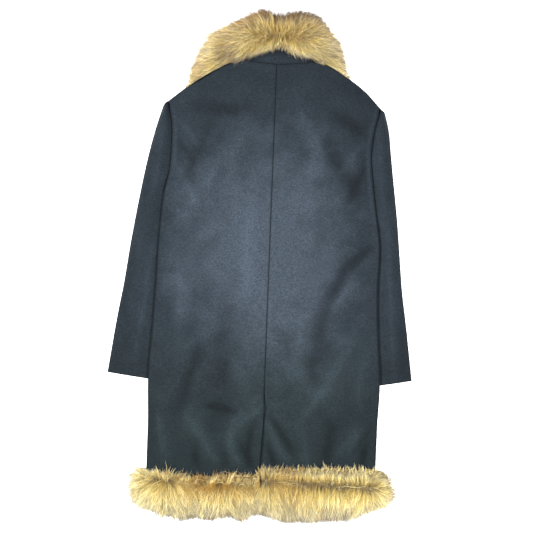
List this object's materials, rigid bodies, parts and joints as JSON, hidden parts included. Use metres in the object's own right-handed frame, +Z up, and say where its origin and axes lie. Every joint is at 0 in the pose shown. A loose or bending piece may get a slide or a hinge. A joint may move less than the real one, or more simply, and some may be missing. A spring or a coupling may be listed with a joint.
{
  "type": "wool coat with faux-fur collar and hem",
  "caption": "Roomy knee-length dark wool coat with a deep faux-fur collar and hem band, laid flat on its front with the back and its vent uppermost.",
  "frame": {"origin": "centre of the coat's box, on the surface that it lies on", "axes": "+X towards the wearer's right, +Y from the hem to the collar, +Z up from the surface to the back of the coat"},
  "size_m": [0.677, 1.1406, 0.058],
  "materials": {
    "wool_melton": "dark blue-grey milled wool with a short dull nap",
    "faux_fur": "long honey-coloured pile with cream and dark tips"
  },
  "bodies": {
    "root": {"back_left": "wool_melton", "back_right": "wool_melton", "front_left": "wool_melton", "front_right": "wool_melton", "sleeve_left_top": "wool_melton", "sleeve_left_under": "wool_melton", "sleeve_right_top": "wool_melton", "sleeve_right_under": "wool_melton", "collar_stand": "wool_melton", "collar_fur_back": "faux_fur", "collar_fur_left": "faux_fur", "collar_fur_right": "faux_fur", "hem_fur_back_left": "faux_fur", "hem_fur_back_right": "faux_fur", "hem_fur_front_left": "faux_fur", "hem_fur_front_right": "faux_fur"}
  },
  "joints": []
}
